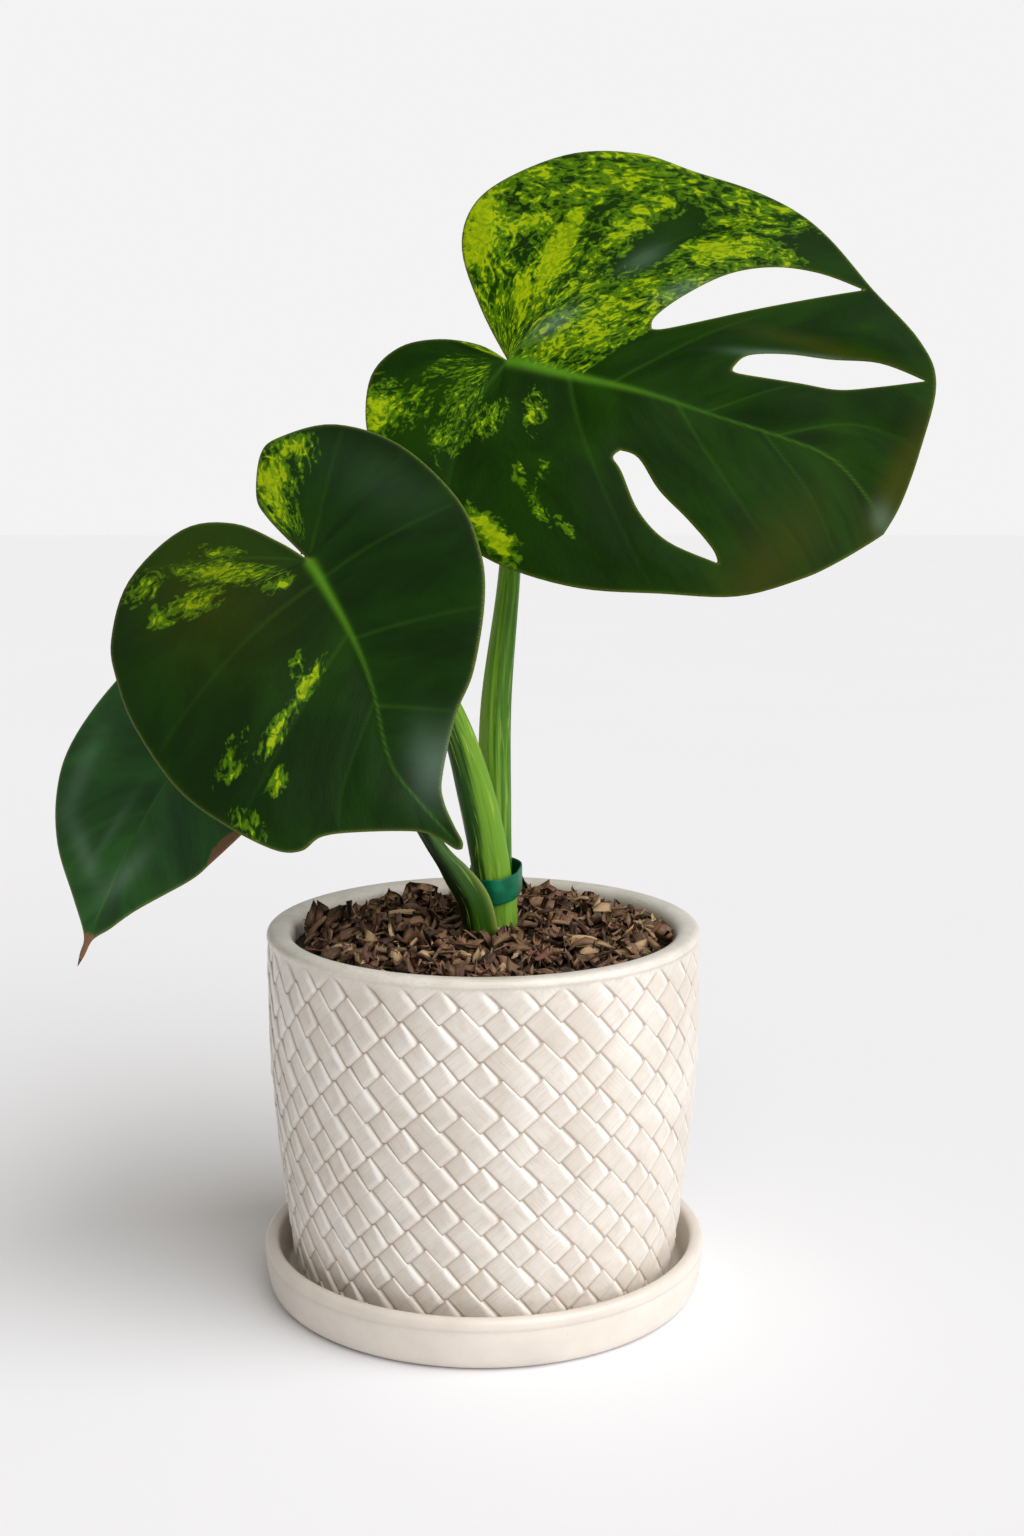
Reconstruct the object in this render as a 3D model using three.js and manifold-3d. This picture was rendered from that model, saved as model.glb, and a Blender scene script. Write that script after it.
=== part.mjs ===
// A potted monstera: three leaves on long stalks, tied together above bark mulch, in a tapered planter on a
// saucer. Millimetres, +Z up. The origin is the centre of the saucer's flat underside, and the upper leaf
// reaches towards +X.
import * as THREE from 'three';
import { mergeVertices } from 'three/addons/utils/BufferGeometryUtils.js';
import Module from 'manifold-3d';

const wasm = await Module();
wasm.setup();

// Driving dimensions
const FIT_GAP = 0.3; // between pieces that touch
const MERGE_DISTANCE = 1e-4;
const POTTERY_SIDES = 48;

const SAUCER_HEIGHT = 19.5;
const SAUCER_FLOOR = 5.5;
const SAUCER_FOOT_RADIUS = 76;
const SAUCER_RIM_RADIUS = 82.9;
const SAUCER_INNER_RADIUS = 77.4;
const SAUCER_WALL = { lean: 1.4, footPull: 2.4, footRise: 5, rimDrop: 3, rimInset: 2.6 };
const SAUCER_COVE = { lean: 1.6, rise: 3, pull: 2, floorInset: 5 }; // where the wall meets the floor

const POT_HEIGHT = 137.8; // lip crest above the table
const POT_RIM_RADIUS = 80;
const POT_LIP_RADIUS = 4.7;
const POT_FOOT_RADIUS = 66;
const POT_FLOOR = 8;
const POT_BOTTOM = SAUCER_FLOOR + FIT_GAP;
const DRAIN_RADIUS = 8;
const POT_FOOT_CURVE = { reach: 5.4, rise: 5, pullReach: 5, pullRise: 1 };
const POT_BELLY = { top: 100, pullHeight: 58, pullInset: 1.5 }; // the wall is straight above its top
const POT_INSIDE = {
  straightTo: 90,
  lean: 0.6,
  bellyHeight: 45,
  bellyInset: 3,
  coveRise: 8,
  coveInset: 8,
  cornerInset: 10,
  floorInset: 17,
};
const CURVE_POINTS = { pot: 5, saucer: 4, mix: 4 }; // in each rounding

const MIX_EDGE_HEIGHT = 131.5; // potting mix at the pot's wall
const MIX_CROWN = 5; // how much higher it is in the middle
const MIX_RADIUS = POT_RIM_RADIUS - 2 * POT_LIP_RADIUS - FIT_GAP;
const MIX_RINGS = 4;

const CHIP_COUNT = 22;
const CHIP_LENGTH = 15;
const CHIP_WIDTH = 9;
const CHIP_THICKNESS = 1.6;
const CHIP_TAPER = 2.4;
const CHIP_LIFT = 9; // how steeply its ends turn up
const CHIP_VARIETY = 0.08; // share by which lengths differ
const CHIP_TURN = 1.7; // radians from one chip to the next
const CHIP_RING = { inner: 32, outer: 57 };
const WATERING_SECTOR = { y: 37, halfWidth: 27 }; // bare mix at the back, where the water goes in
const GOLDEN_ANGLE = Math.PI * (3 - Math.sqrt(5));

const BLADE_THICKNESS = 0.7;
const BLADE_CELL = 14; // grid spacing of the curved sheets
const RIB_ROUNDING = 10; // how softly the two halves meet at the midrib
const OUTLINE_DEPTH = 120; // tall enough to pass right through a curved blade
const STALK_END = { width: 60, depth: 40 }; // of the space cut out of a stalk above its blade's underside

const TIE = { x: 4.2, y: -1.5, z: 154, halfWidth: 10, halfDepth: 13, height: 9.5, tilt: 0.11 };
const TIE_THICKNESS = 0.7;
const TIE_SIDES = 32;

// A leaf blade is drawn flat: x runs along the midrib from the stalk to the tip, and y runs across it.
// reach is the point that the tip comes to, facing is the way its upper side looks, rib is the midrib's own
// bend, and each margin and slit edge is a spline. fold lifts the halves beside the midrib, curl drops them
// again towards the margin, and arch bows the midrib.
const LEAVES = {
  upper: {
    at: [8.9, 22, 342.8],
    reach: [143.5, -1.5, 280.9],
    facing: [0.08, -0.86, 0.5],
    rib: [[0, 0], [50, 8], [100, 15], [122, 17], [140, 9], [150, 0]],
    fold: 0.26,
    curl: 0.0024,
    arch: 6,
    margins: [
      [[0, 0], [-19, 16], [-36, 35], [-41, 54], [-35, 73], [-18, 97], [4, 109], [27, 109], [50, 110],
        [68, 108], [84, 102], [108, 88], [132, 77], [144, 64], [149, 36], [151, 14], [150, 0]],
      [[150, 0], [140, -20], [130, -35], [113, -52], [89, -64], [63, -75], [36, -79], [14, -76], [-3, -70],
        [-19, -61], [-32, -50], [-41, -29], [-38, -12], [-27, -2], [-12, 2], [0, 0]],
    ],
    slits: [
      [[[42, 33], [41, 38], [47, 51], [58, 67], [72, 78], [88, 84], [105, 86]],
        [[105, 86], [86, 69], [71, 56], [56, 43], [46, 35], [42, 33]]],
      [[[75, 32], [78, 39], [91, 47], [105, 53], [122, 61], [140, 63]],
        [[140, 63], [126, 52], [113, 43], [99, 38], [78, 31], [75, 32]]],
      [[[102, -44], [83, -45], [69, -39], [57, -27], [52, -23], [53, -19]],
        [[53, -19], [60, -19], [72, -28], [86, -34], [98, -40], [102, -44]]],
    ],
  },
  middle: {
    at: [-58.4, -40, 273.9],
    reach: [-5.5, -85.2, 183.1],
    facing: [-0.12, -0.915, 0.385],
    rib: [[0, 0], [32, 1], [54, -1], [78, -7], [94, -5], [114, 0]],
    fold: 0.22,
    curl: 0.0022,
    arch: 8,
    margins: [
      [[0, 0], [-7, -2], [-23, -6], [-33, -6], [-47, 2], [-49, 11], [-42, 30], [-22, 46], [8, 54], [30, 52],
        [47, 45], [66, 31], [76, 19], [91, 5], [98, 1], [106, 0.5], [114, 0]],
      [[114, 0], [109, -4], [102, -11], [94, -27], [90, -38], [91, -46], [86, -54], [70, -65], [52, -73],
        [25, -77], [6, -76], [-9, -72], [-26, -58], [-34, -34], [-27, -17], [-12, -6], [0, 0]],
    ],
    slits: [],
  },
  lower: {
    at: [-92.8, 0, 223.7],
    reach: [-139.6, -36.2, 138.9],
    facing: [-0.282, -0.816, 0.504],
    rib: [[0, 0], [50, 1], [103, 0]],
    fold: 0.2,
    curl: 0.002,
    arch: 8,
    margins: [
      [[0, 0], [-10, 3], [-23, 13], [-26, 27], [-14, 40], [8, 46], [30, 46], [48, 40], [60, 35], [69, 30],
        [86, 14], [95, 7], [103, 0]],
      [[103, 0], [91, -12], [77, -26], [60, -36], [42, -41], [14, -41], [-8, -37], [-23, -27], [-22, -13],
        [-10, -4], [0, 0]],
    ],
    slits: [],
  },
};

// A stalk's rows are x, y, z, half width and half depth.
const STALKS = {
  upper: [
    [6.5, 4.5, 146.7, 5.2, 4.6],
    [6, 7, 180, 5.2, 4.6],
    [5.4, 12, 219, 5.4, 4.6],
    [9.9, 17, 267, 3.9, 3.9],
    [11.5, 25, 305, 3.4, 3.6],
    [10.8, 30.5, 330, 3.2, 3.4],
    [8.4, 20, 346, 3, 3],
  ],
  middle: [
    [3.3, -6.5, 146.7, 7.2, 6],
    [3.3, -7, 156, 7, 6],
    [-2.3, -9, 185, 7.2, 6.2],
    [-11, -12, 216, 6, 5.6],
    [-27, -18, 245, 4.4, 4.4],
    [-45, -27, 264, 3.6, 3.8],
    [-61, -43, 275.5, 3, 3],
  ],
  lower: [
    [2, -11, 124, 6.5, 4.5],
    [0.6, -15, 136, 6.2, 4.2],
    [-4, -19, 150, 5.6, 3.8],
    [-15, -19, 170, 4.6, 3.6],
    [-36, -14, 193, 3.6, 3.4],
    [-64, -3, 213, 3.2, 3.2],
    [-96, -3, 225, 2.8, 2.8],
  ],
};
const STEM = [
  [5, -2, 92, 5, 6],
  [5.5, -2, 125, 5.6, 7.5],
  [6, -2, 138, 6.2, 8.5],
  [4.6, -1.7, 146, 7.5, 11],
];
const STALK_SIDES = 10;
const STALK_STEP = 11; // length of one segment along a stalk

const COLOURS = {
  glaze: { color: '#d6cab8', roughness: 0.35, metalness: 0 },
  mix: { color: '#3a2a1e', roughness: 0.95, metalness: 0 },
  bark: { color: '#5d4636', roughness: 0.9, metalness: 0 },
  stem: { color: '#6f9a3a', roughness: 0.45, metalness: 0 },
  stalk: { color: '#4f8a2c', roughness: 0.4, metalness: 0 },
  blade: { color: '#1f4a12', roughness: 0.4, metalness: 0 },
  variegated: { color: '#5d7f14', roughness: 0.4, metalness: 0 },
  tie: { color: '#0c6a4a', roughness: 0.4, metalness: 0 },
};

// Helpers

// Moves every vertex of a geometry with the function place.
function bend(geometry, place) {
  const position = geometry.attributes.position;
  const point = new THREE.Vector3();
  for (let index = 0; index < position.count; index += 1) {
    point.fromBufferAttribute(position, index);
    place(point);
    position.setXYZ(index, point.x, point.y, point.z);
  }
  geometry.computeVertexNormals();
  return geometry;
}

function toSolid(geometry) {
  const bare = geometry.clone();
  bare.deleteAttribute('normal');
  bare.deleteAttribute('uv');
  const merged = mergeVertices(bare, MERGE_DISTANCE);
  const mesh = new wasm.Mesh({
    numProp: 3,
    vertProperties: new Float32Array(merged.attributes.position.array),
    triVerts: new Uint32Array(merged.index.array),
  });
  return new wasm.Manifold(mesh);
}

function toGeometry(solid) {
  const mesh = solid.getMesh();
  const geometry = new THREE.BufferGeometry();
  geometry.setAttribute('position', new THREE.BufferAttribute(new Float32Array(mesh.vertProperties), 3));
  geometry.setIndex(new THREE.BufferAttribute(new Uint32Array(mesh.triVerts), 1));
  geometry.computeVertexNormals();
  return geometry;
}

function cutAway(geometry, ...cutters) {
  const solid = cutters.reduce((rest, cutter) => rest.subtract(toSolid(cutter)), toSolid(geometry));
  return toGeometry(solid);
}

// A turned solid about +Z from a THREE.Path of (radius, height).
function turned(path, curvePoints) {
  return new THREE.LatheGeometry(path.getPoints(curvePoints), POTTERY_SIDES).rotateX(Math.PI / 2);
}

function vectors(rows) {
  return rows.map(([x, y]) => new THREE.Vector2(x, y));
}

// Pottery

// The pot's inner wall from the lip down to the floor, moved inwards by inset.
function addInnerWall(path, inset) {
  const lipInner = POT_RIM_RADIUS - 2 * POT_LIP_RADIUS - inset;
  const floorHeight = POT_BOTTOM + POT_FLOOR + inset;
  const wall = POT_INSIDE;
  const coveHeight = floorHeight + wall.coveRise;
  path.lineTo(lipInner - wall.lean, wall.straightTo);
  path.quadraticCurveTo(lipInner - wall.bellyInset, wall.bellyHeight, lipInner - wall.coveInset, coveHeight);
  path.quadraticCurveTo(lipInner - wall.cornerInset, floorHeight, lipInner - wall.floorInset, floorHeight);
}

function potGeometry() {
  const lipCentre = { radius: POT_RIM_RADIUS - POT_LIP_RADIUS, height: POT_HEIGHT - POT_LIP_RADIUS };
  const { reach, rise, pullReach, pullRise } = POT_FOOT_CURVE;
  const { top, pullHeight, pullInset } = POT_BELLY;
  const foot = POT_FOOT_RADIUS;
  const path = new THREE.Path();
  path.moveTo(DRAIN_RADIUS, POT_BOTTOM);
  path.lineTo(foot, POT_BOTTOM);
  path.quadraticCurveTo(foot + pullReach, POT_BOTTOM + pullRise, foot + reach, POT_BOTTOM + rise);
  path.quadraticCurveTo(POT_RIM_RADIUS - pullInset, pullHeight, POT_RIM_RADIUS, top);
  path.lineTo(POT_RIM_RADIUS, lipCentre.height);
  path.absarc(lipCentre.radius, lipCentre.height, POT_LIP_RADIUS, 0, Math.PI, false);
  addInnerWall(path, 0);
  path.lineTo(DRAIN_RADIUS, POT_BOTTOM + POT_FLOOR);
  path.closePath();
  return turned(path, CURVE_POINTS.pot);
}

function saucerGeometry() {
  const outer = SAUCER_RIM_RADIUS;
  const inner = SAUCER_INNER_RADIUS;
  const top = SAUCER_HEIGHT;
  const { lean, footPull, footRise, rimDrop, rimInset } = SAUCER_WALL;
  const path = new THREE.Path();
  path.moveTo(0, 0);
  path.lineTo(SAUCER_FOOT_RADIUS, 0);
  path.quadraticCurveTo(outer - footPull, 0, outer - lean, footRise);
  path.lineTo(outer, top - rimDrop);
  path.quadraticCurveTo(outer, top, outer - rimInset, top);
  path.quadraticCurveTo(inner, top, inner, top - rimDrop);
  path.lineTo(inner - SAUCER_COVE.lean, SAUCER_FLOOR + SAUCER_COVE.rise);
  path.quadraticCurveTo(inner - SAUCER_COVE.pull, SAUCER_FLOOR, inner - SAUCER_COVE.floorInset, SAUCER_FLOOR);
  path.lineTo(0, SAUCER_FLOOR);
  return turned(path, CURVE_POINTS.saucer);
}

// Potting mix and its mulch

function mixHeight(radius) {
  return MIX_EDGE_HEIGHT + MIX_CROWN * (1 - (radius / MIX_RADIUS) ** 2);
}

function mixGeometry() {
  const path = new THREE.Path();
  path.moveTo(0, mixHeight(0));
  for (let ring = 1; ring <= MIX_RINGS; ring += 1) {
    const radius = MIX_RADIUS * ring / MIX_RINGS;
    path.lineTo(radius, mixHeight(radius));
  }
  addInnerWall(path, FIT_GAP);
  path.lineTo(0, POT_BOTTOM + POT_FLOOR + FIT_GAP);
  const points = path.getPoints(CURVE_POINTS.mix).reverse();
  const mound = new THREE.LatheGeometry(points, POTTERY_SIDES).rotateX(Math.PI / 2);
  return cutAway(mound, stalkGeometry(STEM, FIT_GAP), stalkGeometry(STALKS.lower, FIT_GAP));
}

// A curled flake of bark: an oval plate, thinner at its ends, with both ends turned up.
function chipGeometry(scale) {
  const chip = new THREE.BoxGeometry(CHIP_LENGTH * scale, CHIP_WIDTH, CHIP_THICKNESS, 4, 2, 1);
  return bend(chip, (point) => {
    const along = point.x / (CHIP_LENGTH * scale);
    point.y *= 1 - CHIP_TAPER * along ** 2;
    point.z += CHIP_LIFT * along ** 2;
  });
}

// Chips lie on the mound on a golden-angle spiral, each turned its own way and tilted with the slope.
function barkChips() {
  const chips = new THREE.Group();
  const { inner, outer } = CHIP_RING;
  for (let index = 0; chips.children.length < CHIP_COUNT; index += 1) {
    const share = (index + 0.5) / (CHIP_COUNT + 2);
    const radius = Math.sqrt(inner ** 2 + (outer ** 2 - inner ** 2) * share);
    const angle = index * GOLDEN_ANGLE;
    const overGap = radius * Math.sin(angle) > WATERING_SECTOR.y
      && Math.abs(radius * Math.cos(angle)) < WATERING_SECTOR.halfWidth;
    if (overGap) {
      continue;
    }
    const number = String(chips.children.length + 1).padStart(2, '0');
    const scale = 1 + CHIP_VARIETY * Math.sin(3 * index);
    const chip = piece(`bark_chip_${number}`, chipGeometry(scale), COLOURS.bark);
    const slope = Math.atan(2 * MIX_CROWN * radius / MIX_RADIUS ** 2);
    chip.rotation.z = CHIP_TURN * index;
    const rest = new THREE.Group();
    rest.rotation.y = slope;
    rest.position.set(radius, 0, mixHeight(radius) + CHIP_THICKNESS / 2 + 2 * FIT_GAP);
    rest.add(chip);
    const turn = new THREE.Group();
    turn.rotation.z = angle;
    turn.add(rest);
    chips.add(turn);
  }
  return chips;
}

// Stalks and stem

// An oval rod through the rows' points, swollen by grow all round and at both ends.
function stalkGeometry(rows, grow = 0) {
  const centres = new THREE.CatmullRomCurve3(rows.map(([x, y, z]) => new THREE.Vector3(x, y, z)));
  const halves = new THREE.SplineCurve(rows.map((row) => new THREE.Vector2(row[3], row[4])));
  const outline = new THREE.Shape().absarc(0, 0, 1, 0, 2 * Math.PI, false);
  const rod = new THREE.ExtrudeGeometry(outline, {
    depth: 1,
    steps: Math.round(centres.getLength() / STALK_STEP),
    curveSegments: STALK_SIDES / 2, // a full circle takes two points for each
    bevelEnabled: false,
  });
  const front = new THREE.Vector3(0, -1, 0);
  return bend(rod, (point) => {
    const share = point.z;
    const centre = centres.getPoint(share);
    const along = centres.getTangent(share);
    const side = new THREE.Vector3().crossVectors(along, front).normalize();
    const back = new THREE.Vector3().crossVectors(along, side).normalize();
    const half = halves.getPoint(share);
    const atEnd = (share > 0.999) - (share < 0.001);
    const { x, y } = point;
    point.copy(centre).addScaledVector(side, x * (half.x + grow)).addScaledVector(back, y * (half.y + grow));
    point.addScaledVector(along, atEnd * grow);
  });
}

// The space above a blade's underside, which ends the leaf's stalk just under the blade.
function bladeSpace(leaf) {
  const { width, depth } = STALK_END;
  const size = new THREE.Vector2(width, width);
  const lift = depth / 2 - BLADE_THICKNESS / 2 - FIT_GAP;
  return sheetGeometry(leaf, size, new THREE.Vector2(), depth, lift).applyMatrix4(leafPlace(leaf));
}

// A leaf's stalk stands on the stem, or beside it, and ends under its blade.
function petioleGeometry(place) {
  return cutAway(stalkGeometry(STALKS[place]), bladeSpace(LEAVES[place]), stalkGeometry(STEM, FIT_GAP));
}

// Leaves

// The leaf's own axes: x along the midrib, y across it and z out of the upper side.
function leafPlace(leaf) {
  const at = new THREE.Vector3(...leaf.at);
  const along = new THREE.Vector3(...leaf.reach).sub(at).normalize();
  const facing = new THREE.Vector3(...leaf.facing);
  const out = facing.addScaledVector(along, -facing.dot(along)).normalize();
  const across = new THREE.Vector3().crossVectors(out, along);
  return new THREE.Matrix4().makeBasis(along, across, out).setPosition(at);
}

// How far the midrib bends sideways at a distance along the leaf, straight between its rows.
function ribOffset(rib, along) {
  for (let index = 1; index < rib.length; index += 1) {
    const [start, from] = rib[index - 1];
    const [end, to] = rib[index];
    if (along >= start && along <= end) {
      return from + (to - from) * (along - start) / (end - start);
    }
  }
  return 0;
}

// The height of the blade's middle surface over its flat drawing.
function bladeHeight(leaf, along, across) {
  const length = new THREE.Vector3(...leaf.reach).distanceTo(new THREE.Vector3(...leaf.at));
  const fromRib = across - ribOffset(leaf.rib, along);
  const fold = leaf.fold * (Math.hypot(fromRib, RIB_ROUNDING) - RIB_ROUNDING);
  return fold - leaf.curl * fromRib ** 2 + leaf.arch * Math.sin(Math.PI * along / length);
}

// A tall solid with the outline that the edges' splines close.
function outlineSolid(edges) {
  const outline = new THREE.Shape().moveTo(...edges[0][0]);
  for (const edge of edges) {
    outline.splineThru(vectors(edge.slice(1)));
  }
  const settings = { depth: OUTLINE_DEPTH, curveSegments: 2, bevelEnabled: false };
  const solid = new THREE.ExtrudeGeometry(outline, settings);
  return toSolid(solid.translate(0, 0, -OUTLINE_DEPTH / 2));
}

// A sheet that follows the blade's curved surface, lifted off it by lift.
function sheetGeometry(leaf, size, centre, thickness, lift) {
  const columns = Math.round(size.x / BLADE_CELL);
  const rows = Math.round(size.y / BLADE_CELL);
  const sheet = new THREE.BoxGeometry(size.x, size.y, thickness, columns, rows, 1);
  return bend(sheet.translate(centre.x, centre.y, lift), (point) => {
    point.z += bladeHeight(leaf, point.x, point.y);
  });
}

// The blade is a curved sheet, trimmed to its outline and cut through at each slit.
function bladeGeometry(leaf) {
  const corners = new THREE.Box2().setFromPoints(vectors(leaf.margins.flat()));
  const size = corners.getSize(new THREE.Vector2()).addScalar(BLADE_CELL);
  const centre = corners.getCenter(new THREE.Vector2());
  const sheet = sheetGeometry(leaf, size, centre, BLADE_THICKNESS, 0);
  const blade = toSolid(sheet).intersect(outlineSolid(leaf.margins));
  return toGeometry(leaf.slits.reduce((rest, slit) => rest.subtract(outlineSolid(slit)), blade));
}

// The plant tie: a flat band bent into an oval loop, a little higher at its back and right.
function tieGeometry() {
  const path = new THREE.Path();
  const half = TIE.height / 2;
  path.moveTo(TIE.halfWidth, -half);
  path.lineTo(TIE.halfWidth + TIE_THICKNESS, -half);
  path.lineTo(TIE.halfWidth + TIE_THICKNESS, half);
  path.lineTo(TIE.halfWidth, half);
  path.closePath();
  const band = new THREE.LatheGeometry(path.getPoints(), TIE_SIDES).rotateX(Math.PI / 2);
  return bend(band, (point) => {
    point.y *= TIE.halfDepth / TIE.halfWidth;
    point.z += TIE.z + TIE.tilt * (point.x + point.y);
    point.x += TIE.x;
    point.y += TIE.y;
  });
}

// Assembly

function piece(name, geometry, look) {
  const mesh = new THREE.Mesh(geometry, new THREE.MeshStandardMaterial(look));
  mesh.name = name;
  return mesh;
}

const plant = new THREE.Group();
plant.add(piece('saucer', saucerGeometry(), COLOURS.glaze));
plant.add(piece('pot', potGeometry(), COLOURS.glaze));
plant.add(piece('potting_mix', mixGeometry(), COLOURS.mix));
plant.add(barkChips());
plant.add(piece('stem', stalkGeometry(STEM), COLOURS.stem));
for (const place of ['upper', 'middle', 'lower']) {
  const leaf = LEAVES[place];
  plant.add(piece(`${place}_petiole`, petioleGeometry(place), COLOURS.stalk));
  const look = leaf.slits.length ? COLOURS.variegated : COLOURS.blade;
  const blade = piece(`${place}_leaf`, bladeGeometry(leaf), look);
  blade.applyMatrix4(leafPlace(leaf));
  plant.add(blade);
}
plant.add(piece('plant_tie', tieGeometry(), COLOURS.tie));

export default plant;
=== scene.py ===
"""A young variegated monstera in a plaited stoneware planter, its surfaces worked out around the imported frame.

Shapes are worked out in millimetres and put into their meshes in metres, in the frame's own axes: +Z up, the
origin under the middle of the saucer, the upper leaf reaching towards +X and the front towards -Y.
"""

import bpy
import numpy as np
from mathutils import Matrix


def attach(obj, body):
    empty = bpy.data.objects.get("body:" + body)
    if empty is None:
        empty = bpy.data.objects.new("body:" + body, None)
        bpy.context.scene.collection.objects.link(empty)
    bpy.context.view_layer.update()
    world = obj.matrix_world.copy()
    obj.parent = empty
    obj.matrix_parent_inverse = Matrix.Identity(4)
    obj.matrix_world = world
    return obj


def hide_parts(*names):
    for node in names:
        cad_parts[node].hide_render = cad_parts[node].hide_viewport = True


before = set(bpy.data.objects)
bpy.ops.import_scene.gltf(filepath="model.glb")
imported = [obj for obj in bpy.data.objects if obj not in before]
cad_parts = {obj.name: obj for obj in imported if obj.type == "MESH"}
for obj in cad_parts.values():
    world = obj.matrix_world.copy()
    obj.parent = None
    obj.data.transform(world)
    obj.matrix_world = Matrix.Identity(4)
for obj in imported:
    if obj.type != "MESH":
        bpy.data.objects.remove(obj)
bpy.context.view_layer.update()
MM = 0.001

# ---- view and light, then the plant's own dimensions in millimetres

CAMERA = {"place": (10.44, -703.35, 313.25), "down_degrees": 9.48, "lens": 45.7, "sensor": 36}
TABLE_HALF = 6000
LIGHT = {
    "fill": (1.0, 0.935, 0.86, 1), "fill_strength": 0.36, "gloss": (0.4, 0.44, 0.46, 1), "backdrop": "f4f3f3",
    "key": (1.0, 1.0, 0.997), "key_energy": 3.02, "key_angle": 1.2, "key_tilt": 48, "key_turn": 53,
}

SAUCER = {"height": 19.5, "floor": 5.5, "foot": 76.0, "rim": 82.9, "inner": 77.4}
POT = {"height": 137.8, "rim": 80.0, "lip": 4.7, "foot": 66.0, "bottom": 5.8, "floor": 13.8, "drain": 8.0}
# The plait runs from low to high. lean, uneven, crease and pit are depths of its tiles, slip is how far a tile
# lies askew, in crossings, and inset how far it sits inside the wall.
PLAIT = {
    "low": 9.5, "high": 134.6, "strands": 36, "crossings": 20, "lean": 0.75, "slip": 0.07, "inset": 0.35,
    "uneven": 0.14, "crease": 0.28, "pit": 0.45,
}
MIX = {"edge": 131.5, "crown": 5.0, "radius": 70.3, "cover": 1.6, "bottom": 15}
TIE = {
    "x": 4.4, "y": -1.5, "z": 154.0, "half_width": 9.0, "half_depth": 13.0, "height": 9.5, "thickness": 0.7,
    "tilt": 0.11,
}
# How far the features of a blade stand off its plain sheet; rib_rounding and fan_radius are lengths on it.
BLADE = {
    "thickness": 0.6, "rib_rounding": 10.0, "fan_radius": 40.0, "quilt": 0.45, "ripple": 0.7,
    "rim_droop": 0.3, "rib_rise": 0.45, "rib_drop": 1.5, "valley": 0.7, "vein_sink": 0.22, "vein_drop": 0.4,
}

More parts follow.
